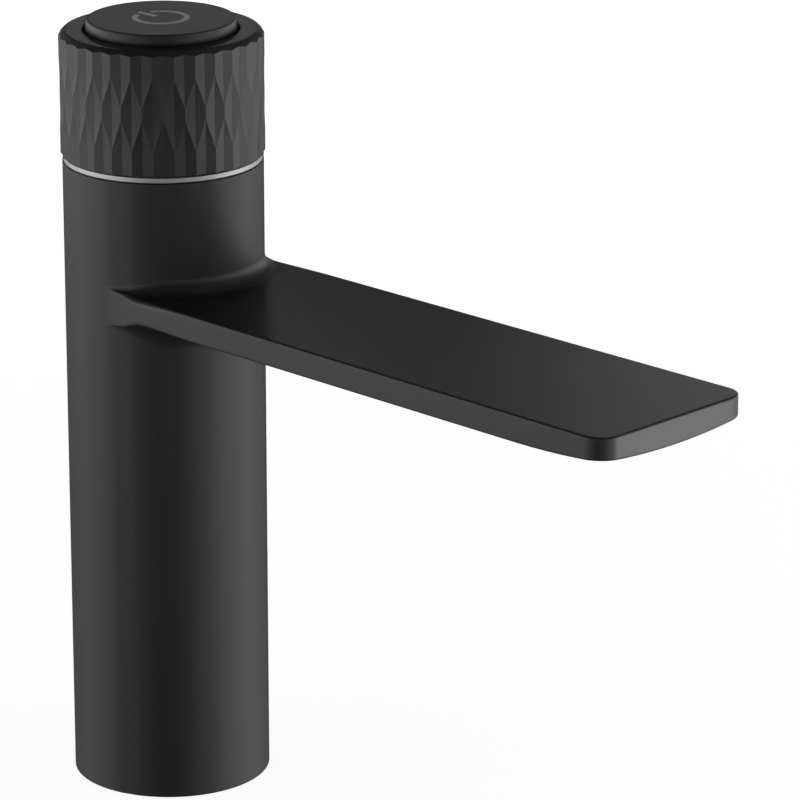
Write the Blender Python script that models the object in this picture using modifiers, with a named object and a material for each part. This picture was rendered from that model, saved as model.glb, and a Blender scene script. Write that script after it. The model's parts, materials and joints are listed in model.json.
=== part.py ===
"""Single-hole basin mixer: a round column with a flat spout, a faceted temperature knob and a push button.

Frame: origin on the column's axis at the deck, +Z up, the spout points along -Y and X is the width.
Every length below is in millimetres; MM turns it into Blender's metres where a mesh is made.
"""

import math

import bmesh
import bpy

MM = 0.001
GAP = 0.3  # clearance between pieces that touch

# Driving dimensions
COLUMN_R = 23.0
COLUMN_TOP = 148.2
SPOUT_TOP = 122.2
SPOUT_TIP = 156.7  # distance from the column's axis to the end of the spout
SPOUT_HALF_ROOT = 22.2
SPOUT_HALF_TIP = 23.0
SPOUT_EDGE = 6.1  # height of the spout's side walls
SPOUT_MIDDLE = 7.6  # thickness along the spout's centre line
SPOUT_CORNER_R = 5.0
KNOB_BOTTOM = 149.6
KNOB_TOP = 178.6
KNOB_RIDGE_R = 23.35
KNOB_VALLEY_R = 22.95
KNOB_FACETS = 30
BUTTON_TOP = 181.0
BUTTON_R = 17.25
BUTTON_TRAVEL = 2.2
KNOB_TURN = 50.0  # degrees to either side of the middle

# Column
WALL_IN = 19.0  # radius of the hollow foot
WEB_LOW, WEB_HIGH = 112.0, 126.0
CHAMBER_R = 18.0
THREAD_R = 19.2
THREAD_LOW = 141.0

# Water ways
PORT_X, PORT_Y = 8.8, 6.6  # hot at -X, cold at +X
PORT_R = 2.8
RISER_R = 3.9
RISER_SOCKET_R = RISER_R + GAP
RISER_LOW, RISER_HIGH = 10.3, 118.7
O_RING_SEAT_R = 5.2
SLOT_TOP = 120.6
SLOT_FLOOR = 117.2
SLOT_SHALLOW_FLOOR = 119.0
SLOT_HALF = 14.0
OUTLET_Y = -139.0
OUTLET_R = 9.2

# Foot
STUD_Y = -9.0
STUD_SEAT_R = 5.2
MANIFOLD_TOP = 16.0

# Knob drive
SCREW_CIRCLE = 18.4
SCREW_ANGLES = (30, 150, 270)
HEX_R = 8.5

# Turned pieces: how many sides
COLUMN_STEPS = 48
ROUND_STEPS = 24
SMALL_STEPS = 12

# Finishes: colour, roughness, metallic
BLACK_COAT = ((0.018, 0.018, 0.019), 0.42, 0.0)
BLACK_KNOB = ((0.028, 0.028, 0.029), 0.34, 0.0)
BRIGHT = ((0.78, 0.78, 0.78), 0.12, 1.0)
STEEL = ((0.55, 0.55, 0.56), 0.3, 1.0)
BRASS = ((0.62, 0.45, 0.2), 0.35, 1.0)
WHITE_PLASTIC = ((0.72, 0.72, 0.7), 0.45, 0.0)
GREY_PLASTIC = ((0.2, 0.2, 0.21), 0.5, 0.0)
CERAMIC = ((0.8, 0.79, 0.76), 0.15, 0.0)
RUBBER = ((0.02, 0.02, 0.02), 0.8, 0.0)


def clear_scene():
    for item in list(bpy.data.objects):
        bpy.data.objects.remove(item, do_unlink=True)


def new_collection(name):
    group = bpy.data.collections.new(name)
    bpy.context.scene.collection.children.link(group)
    return group


clear_scene()
PARTS = new_collection("bathroom_mixer_faucet")
CUTTERS = new_collection("cutters")


# ---------------------------------------------------------------- making objects


def add_object(name, mesh, group):
    item = bpy.data.objects.new(name, mesh)
    group.objects.link(item)
    return item


def dress(item, finish):
    colour, roughness, metallic = finish
    material = bpy.data.materials.new(item.name + "_finish")
    material.use_nodes = True
    shader = material.node_tree.nodes["Principled BSDF"]
    shader.inputs["Base Color"].default_value = (*colour, 1.0)
    shader.inputs["Roughness"].default_value = roughness
    shader.inputs["Metallic"].default_value = metallic
    material.diffuse_color = (*colour, 1.0)
    item.data.materials.append(material)


def as_part(item, finish, parent=None):
    dress(item, finish)
    item.parent = parent
    return item


def as_cutter(item):
    item.hide_render = True
    item.display_type = "WIRE"
    return item


def turned(name, profile, group, steps=ROUND_STEPS, at=(0.0, 0.0)):
    """Turn a profile of (radius, height) points about Z. It runs down its outer side, and it is closed
    into a ring unless it starts and ends on the axis."""
    mesh = bpy.data.meshes.new(name)
    points = [(radius * MM, 0.0, height * MM) for radius, height in profile]
    on_axis = profile[0][0] == 0.0
    count = len(points)
    edges = [(i, (i + 1) % count) for i in range(count - 1 if on_axis else count)]
    mesh.from_pydata(points, edges, [])
    item = add_object(name, mesh, group)
    item.location = (at[0] * MM, at[1] * MM, 0.0)
    screw = item.modifiers.new("turn", "SCREW")
    screw.steps = steps
    screw.render_steps = steps
    screw.use_merge_vertices = True
    screw.merge_threshold = 0.00001
    screw.use_smooth_shade = True
    return item


def rod(name, radius, low, high, group, steps=ROUND_STEPS, at=(0.0, 0.0)):
    profile = [(0.0, high), (radius, high), (radius, low), (0.0, low)]
    return turned(name, profile, group, steps, at)


def ring(name, inner, outer, low, high, group, steps=ROUND_STEPS, at=(0.0, 0.0)):
    profile = [(outer, high), (outer, low), (inner, low), (inner, high)]
    return turned(name, profile, group, steps, at)


def plate(name, outline, low, high, group, upright=False):
    """Extrude a flat outline of (x, y) points between two heights. An upright plate has its outline in
    the XZ plane and runs from y = -low to y = -high."""
    curve = bpy.data.curves.new(name, "CURVE")
    curve.dimensions = "2D"
    curve.fill_mode = "BOTH"
    curve.extrude = (high - low) / 2 * MM
    spline = curve.splines.new("POLY")
    spline.points.add(len(outline) - 1)
    for point, (x, y) in zip(spline.points, outline):
        point.co = (x * MM, y * MM, 0.0, 1.0)
    spline.use_cyclic_u = True
    drawn = add_object(name + "_outline", curve, group)
    bpy.context.view_layer.update()
    evaluated = drawn.evaluated_get(bpy.context.evaluated_depsgraph_get())
    mesh = bpy.data.meshes.new_from_object(evaluated)
    welded = bmesh.new()
    welded.from_mesh(mesh)
    middle = (low + high) / 2 * MM
    bmesh.ops.translate(welded, vec=(0.0, 0.0, middle), verts=welded.verts)
    bmesh.ops.remove_doubles(welded, verts=welded.verts, dist=0.000001)
    bmesh.ops.recalc_face_normals(welded, faces=welded.faces)
    welded.to_mesh(mesh)
    welded.free()
    bpy.data.objects.remove(drawn, do_unlink=True)
    bpy.data.curves.remove(curve)
    item = add_object(name, mesh, group)
    if upright:
        item.rotation_euler = (math.radians(90), 0.0, 0.0)
    return item


def block(name, low, high, group):
    mesh = bpy.data.meshes.new(name)
    box = bmesh.new()
    bmesh.ops.create_cube(box, size=1.0)
    size = [(b - a) * MM for a, b in zip(low, high)]
    bmesh.ops.scale(box, vec=size, verts=box.verts)
    box.to_mesh(mesh)
    box.free()
    item = add_object(name, mesh, group)
    item.location = [(a + b) / 2 * MM for a, b in zip(low, high)]
    return item


def prisms(name, sides, radius, low, high, places, group):
    """One mesh of equal upright prisms that stand clear of each other at (x, y) places."""
    mesh = bpy.data.meshes.new(name)
    solid = bmesh.new()
    for x, y in places:
        made = bmesh.ops.create_cone(
            solid,
            cap_ends=True,
            segments=sides,
            radius1=radius * MM,
            radius2=radius * MM,
            depth=(high - low) * MM,
        )
        centre = (x * MM, y * MM, (low + high) / 2 * MM)
        bmesh.ops.translate(solid, vec=centre, verts=made["verts"])
    solid.to_mesh(mesh)
    solid.free()
    return add_object(name, mesh, group)


def combine(part, tool, operation="DIFFERENCE"):
    as_cutter(tool)
    modifier = part.modifiers.new(tool.name, "BOOLEAN")
    modifier.object = tool
    modifier.operation = operation
    modifier.solver = "EXACT"


def drill(part, name, radius, low, high, places, sides=SMALL_STEPS):
    combine(part, prisms(name, sides, radius, low, high, places, CUTTERS))


def arc(radius, start, stop, steps, centre=(0.0, 0.0)):
    """Points on an arc from start to stop, in degrees."""
    angles = [math.radians(start + (stop - start) * i / steps) for i in range(steps + 1)]
    return [(centre[0] + radius * math.cos(a), centre[1] + radius * math.sin(a)) for a in angles]


def sector(inner, outer, start, stop, steps):
    """Outline of a piece of a flat ring."""
    return arc(outer, start, stop, steps) + arc(inner, stop, start, steps)


# ---------------------------------------------------------------- column and spout


def column_profile():
    bevel = 0.5
    clip_low, clip_high, clip_seat_r = 3.0, 4.4, 19.9
    gasket_in, gasket_out, gasket_deep = 20.2, 22.0, 1.5
    return [
        (0.0, WEB_HIGH),
        (CHAMBER_R, WEB_HIGH),
        (CHAMBER_R, THREAD_LOW),
        (THREAD_R, THREAD_LOW + 1.2),
        (THREAD_R, COLUMN_TOP),
        (COLUMN_R - bevel, COLUMN_TOP),
        (COLUMN_R, COLUMN_TOP - bevel),
        (COLUMN_R, bevel),
        (COLUMN_R - bevel, 0.0),
        (gasket_out, 0.0),
        (gasket_out, gasket_deep),
        (gasket_in, gasket_deep),
        (gasket_in, 0.0),
        (WALL_IN, 0.0),
        (WALL_IN, clip_low),
        (clip_seat_r, clip_low),
        (clip_seat_r, clip_high),
        (WALL_IN, clip_high),
        (WALL_IN, WEB_LOW),
        (0.0, WEB_LOW),
    ]


def spout_outline():
    """Plan of the spout: a slightly widening bar with two rounded corners at its end."""
    corner = SPOUT_CORNER_R
    left = arc(corner, 180, 270, 6, (-SPOUT_HALF_TIP + corner, -SPOUT_TIP + corner))
    right = arc(corner, 270, 360, 6, (SPOUT_HALF_TIP - corner, -SPOUT_TIP + corner))
    return [(-SPOUT_HALF_ROOT, 0.0)] + left + right + [(SPOUT_HALF_ROOT, 0.0)]


def spout_section():
    """Cross section of the spout: flat on top, upright sides, crowned underneath."""
    steps = 8
    half = SPOUT_HALF_TIP + 2.0
    crown = SPOUT_MIDDLE - SPOUT_EDGE
    under = []
    for i in range(steps + 1):
        x = -half + 2 * half * i / steps
        under.append((x, SPOUT_TOP - SPOUT_MIDDLE + crown * (x / SPOUT_HALF_TIP) ** 2))
    return [(half, SPOUT_TOP), (-half, SPOUT_TOP), *under]


def make_spout():
    spout = plate("spout", spout_outline(), SPOUT_TOP - SPOUT_MIDDLE - 2, SPOUT_TOP + 2, CUTTERS)
    section = plate("spout_section", spout_section(), -5.0, SPOUT_TIP + 5.0, CUTTERS, upright=True)
    combine(spout, section, "INTERSECT")
    bevel = spout.modifiers.new("soft_edges", "BEVEL")
    bevel.width = 0.6 * MM
    bevel.segments = 1
    bevel.limit_method = "ANGLE"
    bevel.angle_limit = math.radians(50)
    return spout


def cut_water_ways(casting):
    ports = [(-PORT_X, PORT_Y), (PORT_X, PORT_Y)]
    drill(casting, "riser_sockets", RISER_SOCKET_R, WEB_LOW - 2, RISER_HIGH + GAP, ports)
    drill(casting, "riser_seal_seats", O_RING_SEAT_R, WEB_LOW + 2, WEB_LOW + 3.6, ports)
    drill(casting, "inlet_ports", PORT_R, RISER_HIGH - 1, WEB_HIGH + 2, ports)
    drill(casting, "mixed_port", 4.5, SLOT_FLOOR + 1.3, WEB_HIGH + 2, [(0.0, 0.0)])
    neck = block("slot_neck", (-4, -12, SLOT_FLOOR), (4, 3, SLOT_TOP), CUTTERS)
    wide = block("slot_wide", (-SLOT_HALF, -127, SLOT_FLOOR), (SLOT_HALF, -11, SLOT_TOP), CUTTERS)
    end = block("slot_end", (-8, OUTLET_Y, SLOT_SHALLOW_FLOOR), (8, -126, SLOT_TOP), CUTTERS)
    for slot in (neck, wide, end):
        combine(casting, slot)
    low = SPOUT_TOP - SPOUT_MIDDLE - 3
    outlet_top = SLOT_SHALLOW_FLOOR + GAP
    drill(casting, "outlet_bore", OUTLET_R, low, outlet_top, [(0.0, OUTLET_Y)], ROUND_STEPS)


def make_casting():
    casting = turned("body_casting", column_profile(), PARTS, COLUMN_STEPS)
    as_part(casting, BLACK_COAT)
    combine(casting, make_spout(), "UNION")
    cut_water_ways(casting)


# ---------------------------------------------------------------- foot of the column


def make_foot():
    neck_r, body_r, shoulder = 16.4, 18.6, 4.7
    profile = [
        (0.0, MANIFOLD_TOP),
        (body_r, MANIFOLD_TOP),
        (body_r, shoulder),
        (neck_r, shoulder),
        (neck_r, 0.0),
        (0.0, 0.0),
    ]
    manifold = as_part(turned("inlet_manifold", profile, PARTS), BRASS)
    ports = [(-PORT_X, PORT_Y), (PORT_X, PORT_Y)]
    drill(manifold, "hose_sockets", 4.5, -2.0, 8.5, ports)
    drill(manifold, "throats", PORT_R, 8.0, 11.0, ports)
    drill(manifold, "manifold_riser_sockets", RISER_SOCKET_R, RISER_LOW - GAP, 18.0, ports)
    drill(manifold, "manifold_seal_seats", O_RING_SEAT_R, 12.0, 13.6, ports)
    drill(manifold, "stud_seat", STUD_SEAT_R, -2.0, 18.0, [(0.0, STUD_Y)])
    bush = ring("stud_bush", 3.4, STUD_SEAT_R - GAP, GAP, 15.0, PARTS, SMALL_STEPS, (0.0, STUD_Y))
    as_part(bush, STEEL)
    clip = plate("manifold_clip", sector(17.0, 19.6, 110, 430, 24), 3.3, 4.1, PARTS)
    as_part(clip, STEEL)
    as_part(ring("base_gasket", 20.5, 21.7, 0.05, 1.2, PARTS, COLUMN_STEPS), RUBBER)


def make_risers():
    for side, x in (("hot", -PORT_X), ("cold", PORT_X)):
        place = (x, PORT_Y)
        tube = ring(side + "_riser", 2.6, RISER_R, RISER_LOW, RISER_HIGH, PARTS, SMALL_STEPS, place)
        as_part(tube, STEEL)
        for level, low in (("lower", 12.3), ("upper", WEB_LOW + 2.3)):
            name = f"{side}_riser_seal_{level}"
            inner, outer = RISER_R + GAP, O_RING_SEAT_R - 0.2
            as_part(ring(name, inner, outer, low, low + 1.0, PARTS, SMALL_STEPS, place), RUBBER)


# ---------------------------------------------------------------- cartridge

BASE_LOW, BASE_HIGH = 126.3, 129.0
FIXED_HIGH = 132.3
ROTATING_HIGH = 136.1
HOUSING_R, HOUSING_SHOULDER = 17.4, 143.0
NECK_R, NECK_TOP = 11.3, 155.0
SPINDLE_BORE = 8.7
SPINDLE_TOP = 169.5
SPRING_FLOOR = 150.0
PLUNGER_LOW = SPRING_FLOOR + BUTTON_TRAVEL + 2 * GAP


def make_cartridge_base():
    seat = 127.3
    profile = [
        (16.8, BASE_HIGH),
        (16.8, BASE_LOW),
        (6.3, BASE_LOW),
        (6.3, seat),
        (4.7, seat),
        (4.7, BASE_LOW),
        (3.0, BASE_LOW),
        (3.0, BASE_HIGH),
    ]
    base = as_part(turned("cartridge_base", profile, PARTS), WHITE_PLASTIC)
    ports = [(-PORT_X, PORT_Y), (PORT_X, PORT_Y)]
    drill(base, "base_ports", PORT_R, BASE_LOW - 2, BASE_HIGH + 2, ports)
    drill(base, "base_seal_seats", 4.4, BASE_LOW - 2, seat, ports)
    seals = (("hot", 3.1, 4.1, ports[0]), ("cold", 3.1, 4.1, ports[1]), ("mixed", 5.0, 6.0, (0, 0)))
    for side, inner, outer, place in seals:
        name = "port_seal_" + side
        seal = ring(name, inner, outer, BASE_LOW, seat - GAP, PARTS, SMALL_STEPS, place)
        as_part(seal, RUBBER)


def make_ceramic_discs(turning):
    low = BASE_HIGH + GAP
    ports = [(-PORT_X, PORT_Y), (PORT_X, PORT_Y)]
    fixed = as_part(ring("fixed_ceramic_disc", 4.0, 13.7, low, FIXED_HIGH, PARTS), CERAMIC)
    drill(fixed, "disc_ports", 2.2, low - 2, FIXED_HIGH + 2, ports)
    low = FIXED_HIGH + GAP
    rotating = ring("rotating_ceramic_disc", 2.4, 13.0, low, ROTATING_HIGH, PARTS)
    as_part(rotating, CERAMIC, turning)
    middle = math.degrees(math.atan2(PORT_Y, PORT_X))
    pocket = sector(1.0, 12.4, middle, 180 - middle, 12)
    combine(rotating, plate("mixing_pocket", pocket, low - 2, low + 1.7, CUTTERS))


def make_housing():
    inner, ceiling = 14.0, 139.3
    profile = [
        (NECK_R, NECK_TOP),
        (NECK_R, HOUSING_SHOULDER),
        (HOUSING_R, HOUSING_SHOULDER),
        (HOUSING_R, BASE_HIGH + GAP),
        (inner, BASE_HIGH + GAP),
        (inner, ceiling),
        (SPINDLE_BORE, ceiling),
        (SPINDLE_BORE, NECK_TOP),
    ]
    as_part(turned("cartridge_housing", profile, PARTS), GREY_PLASTIC)


def make_spindle(turning):
    shaft_r, flange_r, flange_top = 8.1, 12.5, 139.0
    groove_low, groove_high, groove_r = 146.8, 149.2, 6.6
    spring_bore, stem_bore = 6.1, 2.4
    profile = [
        (shaft_r, SPINDLE_TOP),
        (shaft_r, groove_high),
        (groove_r, groove_high),
        (groove_r, groove_low),
        (shaft_r, groove_low),
        (shaft_r, flange_top),
        (flange_r, flange_top),
        (flange_r, ROTATING_HIGH + GAP),
        (stem_bore, ROTATING_HIGH + GAP),
        (stem_bore, SPRING_FLOOR),
        (spring_bore, SPRING_FLOOR),
        (spring_bore, SPINDLE_TOP),
    ]
    spindle = as_part(turned("mixing_spindle", profile, PARTS), BRASS, turning)
    hexagon = plate("spindle_hexagon", arc(HEX_R, 0, 300, 5), 156.0, SPINDLE_TOP + 3, CUTTERS)
    collar = ring("hexagon_waste", 4.0, 12.0, 157.0, SPINDLE_TOP + 2, CUTTERS)
    combine(collar, hexagon)
    combine(spindle, collar)
    groove = ring("clip_groove", 6.9, 12.0, 166.6, 168.2, CUTTERS)
    combine(spindle, groove)
    seal = turned("spindle_o_ring", round_section(7.55, 148.0, 0.7), PARTS)
    as_part(seal, RUBBER, turning)
    clip = plate("spindle_clip", sector(7.1, 10.4, 120, 420, 16), 166.9, 167.9, PARTS)
    as_part(clip, STEEL, turning)


def round_section(radius, height, thickness):
    """Profile of an O-ring: a small circle, drawn so that its outer side runs down."""
    return arc(thickness, 0, -315, 7, (radius, height))


def make_retaining_nut():
    low, high, flange_low, flange_r, lip = HOUSING_SHOULDER + GAP, 151.0, 149.6, 20.6, 11.6
    thread_r = THREAD_R - GAP
    profile = [(flange_r, high), (flange_r, flange_low), (thread_r, flange_low), (thread_r, low)]
    profile += [(lip, low), (lip, high)]
    nut = as_part(turned("retaining_nut", profile, PARTS), BRASS)
    drill(nut, "nut_socket", 16.5, 145.3, high + 2, [(0.0, 0.0)], 6)
    as_part(ring("trim_ring", 19.4, 22.65, 148.5, 149.3, PARTS, COLUMN_STEPS), BRIGHT)
    as_part(ring("slide_ring", 18.6, 20.65, 151.3, 155.0, PARTS, COLUMN_STEPS), WHITE_PLASTIC)


def make_stop_ring():
    """Ring on the cartridge's neck. Its raised wall leaves the dog of the carrier its travel."""
    inner, outer, low, step, high = NECK_R + GAP, 13.6, 151.5, 153.5, 156.8
    dog_half = 10.0
    open_half = KNOB_TURN + dog_half + 0.5
    stop = as_part(ring("temperature_stop_ring", inner, outer, low, high, PARTS), GREY_PLASTIC)
    opening = sector(inner - 2, outer + 2, 90 - open_half, 90 + open_half, 16)
    combine(stop, plate("stop_opening", opening, step, high + 2, CUTTERS))


# ---------------------------------------------------------------- knob

CARRIER_LOW, CARRIER_TOP, CARRIER_R = 162.5, 166.3, 20.6


def screw_places():
    return [arc(SCREW_CIRCLE, angle, angle, 1)[0] for angle in SCREW_ANGLES]


def make_carrier(turning):
    hub_r, hub_low = 11.3, 157.5
    profile = [
        (CARRIER_R, CARRIER_TOP),
        (CARRIER_R, CARRIER_LOW),
        (hub_r, CARRIER_LOW),
        (hub_r, hub_low),
        (6.0, hub_low),
        (6.0, CARRIER_TOP),
    ]
    carrier = as_part(turned("knob_carrier", profile, PARTS), GREY_PLASTIC, turning)
    dog = plate("stop_dog", sector(11.9, 13.3, 80, 100, 4), 154.0, CARRIER_LOW + 1, CUTTERS)
    combine(carrier, dog, "UNION")
    hexagon = plate("carrier_hexagon", arc(HEX_R + 0.4, 0, 300, 5), 150.0, 170.0, CUTTERS)
    combine(carrier, hexagon)
    drill(carrier, "carrier_holes", 1.5, CARRIER_LOW - 2, CARRIER_TOP + 2, screw_places())
    for number, place in enumerate(screw_places(), start=1):
        head_low, head_high, tip = 160.6, CARRIER_LOW - GAP, 169.7
        profile = [(0.0, tip), (1.2, tip), (1.2, head_high), (2.2, head_high)]
        profile += [(2.2, head_low), (0.0, head_low)]
        screw = turned(f"knob_screw_{number}", profile, PARTS, SMALL_STEPS, place)
        as_part(screw, STEEL, turning)
        drill(screw, f"screw_socket_{number}", 1.1, head_low - 1, head_low + 0.9, [place], 6)


def facet_rows():
    """Heights of the facet corners from the chamfer down, and whether the ridge stands at the even or at
    the odd angles there. Three rows of grooves, each half a pitch on from the one above."""
    return [
        (177.6, "even"),
        (172.3, "even"),
        (165.4, "odd"),
        (162.6, "odd"),
        (155.5, "even"),
        (KNOB_BOTTOM, "even"),
    ]


def knob_rings():
    """Every ring of the knob's surface as (height, radius at even angles, radius at odd angles)."""
    flat_r, button_r, ledge_r, skirt_r = 22.1, 17.8, 15.8, 21.0
    ledge_low, ledge_high, edge = 166.6, 171.0, 0.4
    rings = []
    for height, ridge in facet_rows():
        even = KNOB_RIDGE_R if ridge == "even" else KNOB_VALLEY_R
        odd = KNOB_RIDGE_R if ridge == "odd" else KNOB_VALLEY_R
        rings.append((height, even, odd))
    rings.append((KNOB_BOTTOM, skirt_r, skirt_r))
    rings.append((ledge_low, skirt_r, skirt_r))
    rings.append((ledge_low, ledge_r, ledge_r))
    rings.append((ledge_high, ledge_r, ledge_r))
    rings.append((ledge_high, button_r, button_r))
    rings.append((KNOB_TOP - edge, button_r, button_r))
    rings.append((KNOB_TOP, button_r + edge, button_r + edge))
    rings.append((KNOB_TOP, flat_r, flat_r))
    return rings


def make_knob(turning):
    """The sleeve is one closed band of rings. Where ridges change sides, each quad is split along the
    edge that joins the two ridge ends, so the facets stay flat and their edges straight."""
    count = 2 * KNOB_FACETS
    start = math.radians(-90)
    solid = bmesh.new()
    rings = []
    for height, even, odd in knob_rings():
        row = []
        for i in range(count):
            radius = even if i % 2 == 0 else odd
            angle = start + 2 * math.pi * i / count
            x, y = radius * math.cos(angle) * MM, radius * math.sin(angle) * MM
            row.append(solid.verts.new((x, y, height * MM)))
        rings.append((row, even > odd))
    for k, (upper, ridge_even) in enumerate(rings):
        lower = rings[(k + 1) % len(rings)][0]
        for i in range(count):
            j = (i + 1) % count
            ridge_at_i = (i % 2 == 0) == ridge_even
            if ridge_at_i:
                solid.faces.new((upper[i], lower[i], lower[j]))
                solid.faces.new((upper[i], lower[j], upper[j]))
            else:
                solid.faces.new((upper[i], lower[i], upper[j]))
                solid.faces.new((upper[j], lower[i], lower[j]))
    bmesh.ops.recalc_face_normals(solid, faces=solid.faces)
    mesh = bpy.data.meshes.new("temperature_knob")
    solid.to_mesh(mesh)
    solid.free()
    knob = as_part(add_object("temperature_knob", mesh, PARTS), BLACK_KNOB, turning)
    drill(knob, "knob_screw_holes", 1.5, 165.0, 170.2, screw_places())


# ---------------------------------------------------------------- push button

SPRING_LOW, SPRING_HIGH = 150.8, 168.3


def make_button(pressing):
    corner, skirt_in, under, boss_r, low = 0.5, 15.6, 178.4, 6.2, 174.0
    cap = [(0.0, BUTTON_TOP)]
    cap += [(x, z) for x, z in arc(corner, 90, 0, 3, (BUTTON_R - corner, BUTTON_TOP - corner))]
    cap += [(BUTTON_R, low), (skirt_in, low), (skirt_in, under)]
    cap += [(boss_r, under), (boss_r, low), (0.0, low)]
    as_part(turned("button_cap", cap, PARTS, COLUMN_STEPS), BLACK_KNOB, pressing)
    rod_r, shoulder_r, head_r = 3.0, 5.6, 9.5
    plunger = [
        (0.0, low - GAP),
        (head_r, low - GAP),
        (head_r, 172.2),
        (shoulder_r, 172.2),
        (shoulder_r, 168.9),
        (rod_r, 168.9),
        (rod_r, PLUNGER_LOW),
        (0.0, PLUNGER_LOW),
    ]
    as_part(turned("button_plunger", plunger, PARTS), WHITE_PLASTIC, pressing)


def make_valve(pressing):
    stem_r, head_r, head_low, head_high, top = 1.8, 3.9, 123.0, 125.0, PLUNGER_LOW - GAP
    stem = [
        (0.0, top),
        (stem_r, top),
        (stem_r, head_high),
        (head_r, head_high),
        (head_r, head_low),
        (0.0, head_low),
    ]
    as_part(turned("valve_stem", stem, PARTS, SMALL_STEPS), STEEL, pressing)
    seal = ring("valve_seal", stem_r + GAP, 3.8, head_high + GAP, 126.0, PARTS, SMALL_STEPS)
    as_part(seal, RUBBER, pressing)


def make_spring():
    turns, per_turn, coil_r, wire_r = 5, 12, 4.5, 0.45
    curve = bpy.data.curves.new("button_spring", "CURVE")
    curve.dimensions = "3D"
    curve.bevel_depth = wire_r * MM
    curve.bevel_resolution = 1
    curve.use_fill_caps = True
    spline = curve.splines.new("POLY")
    count = turns * per_turn + 1
    spline.points.add(count - 1)
    for i, point in enumerate(spline.points):
        angle = 2 * math.pi * i / per_turn
        height = SPRING_LOW + (SPRING_HIGH - SPRING_LOW) * i / (count - 1)
        x, y = coil_r * math.cos(angle), coil_r * math.sin(angle)
        point.co = (x * MM, y * MM, height * MM, 1.0)
    as_part(add_object("button_spring", curve, PARTS), STEEL)


# ---------------------------------------------------------------- water outlet


def hole_grid(pitch, reach):
    """Places of a hexagonal grid of holes around the outlet's centre, out to a given reach."""
    places = []
    for row in range(-4, 5):
        for column in range(-4, 5):
            x = (column + 0.5 * (row % 2)) * pitch
            y = row * pitch * math.sin(math.radians(60))
            if math.hypot(x, y) <= reach:
                places.append((x, OUTLET_Y + y))
    return places


def make_aerator():
    place = (0.0, OUTLET_Y)
    housing = [(8.9, 117.1), (8.9, 115.2), (8.6, 114.9), (6.9, 114.9), (6.7, 115.2), (6.7, 117.1)]
    as_part(turned("aerator_housing", housing, PARTS, at=place), GREY_PLASTIC)
    insert = rod("aerator_insert", 6.4, 115.4, 117.1, PARTS, at=place)
    as_part(insert, WHITE_PLASTIC)
    drill(insert, "insert_holes", 0.95, 114.0, 119.0, hole_grid(2.6, 5.3), 6)
    screen = rod("aerator_screen", 8.6, 117.4, 117.7, PARTS, at=place)
    as_part(screen, STEEL)
    drill(screen, "screen_holes", 0.7, 116.0, 119.0, hole_grid(3.0, 6.8), 6)
    gasket = ring("aerator_gasket", 6.6, 8.8, 118.0, 119.0, PARTS, at=place)
    as_part(gasket, RUBBER)


def main():
    turning = add_object("knob_axis", None, PARTS)
    pressing = add_object("button_axis", None, PARTS)
    make_casting()
    make_foot()
    make_risers()
    make_cartridge_base()
    make_ceramic_discs(turning)
    make_housing()
    make_spindle(turning)
    make_retaining_nut()
    make_stop_ring()
    make_carrier(turning)
    make_knob(turning)
    make_button(pressing)
    make_valve(pressing)
    make_spring()
    make_aerator()


main()
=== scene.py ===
# %% [markdown]
# # A single-hole basin mixer, piece by piece
# The real tap is a turned metal column with a flat spout, under a temperature knob cut with
# diamond-shaped facets and a push button that starts and stops the water. The packed CAD model is
# the fixed frame: it says where each piece is and how it moves. This lesson adds finer meshes,
# finishes, a floor and soft light. The box of the CAD model is kept.

import json
import math

import bmesh
import bpy
from mathutils import Matrix, Vector


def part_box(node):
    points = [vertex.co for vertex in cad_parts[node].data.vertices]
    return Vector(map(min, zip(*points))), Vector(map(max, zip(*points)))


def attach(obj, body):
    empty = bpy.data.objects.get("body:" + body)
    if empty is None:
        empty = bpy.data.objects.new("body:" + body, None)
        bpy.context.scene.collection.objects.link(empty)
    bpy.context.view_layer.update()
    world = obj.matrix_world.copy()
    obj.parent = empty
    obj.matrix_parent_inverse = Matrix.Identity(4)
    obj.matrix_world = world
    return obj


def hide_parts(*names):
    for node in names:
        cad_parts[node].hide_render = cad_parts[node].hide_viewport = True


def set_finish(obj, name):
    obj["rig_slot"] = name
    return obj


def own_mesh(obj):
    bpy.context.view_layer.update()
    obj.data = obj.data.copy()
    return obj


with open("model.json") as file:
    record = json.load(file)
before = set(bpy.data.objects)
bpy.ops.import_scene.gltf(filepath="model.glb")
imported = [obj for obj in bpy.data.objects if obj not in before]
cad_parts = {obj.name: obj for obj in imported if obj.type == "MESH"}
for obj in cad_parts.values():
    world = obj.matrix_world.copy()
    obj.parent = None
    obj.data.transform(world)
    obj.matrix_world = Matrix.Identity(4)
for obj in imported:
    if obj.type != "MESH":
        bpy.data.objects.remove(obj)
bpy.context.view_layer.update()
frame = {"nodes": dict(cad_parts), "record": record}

# %% [markdown]
# ## Measures
# Blender works in metres, but a tap is easier to think about in millimetres. So the pieces below are
# measured in millimetres, which are turned into metres where a mesh is made. The lights, the camera
# and the glow of the floor are in metres. Where a piece starts and ends comes from the boxes of the
# CAD nodes, so the new meshes can't drift away from them.

# %% Sizes from the frame
MM = 0.001


def box_mm(node):
    low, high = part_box(node)
    return low / MM, high / MM


casting_low, casting_high = box_mm("body_casting")
knob_low, knob_high = box_mm("temperature_knob")
cap_low, cap_high = box_mm("button_cap")
trim_low, trim_high = box_mm("trim_ring")
COLUMN_R = round(casting_high.y, 3)
COLUMN_TOP = round(casting_high.z, 3)
SPOUT_TIP = round(-casting_low.y, 3)
print("column radius and height:", COLUMN_R, COLUMN_TOP, "spout reach:", SPOUT_TIP)

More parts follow.
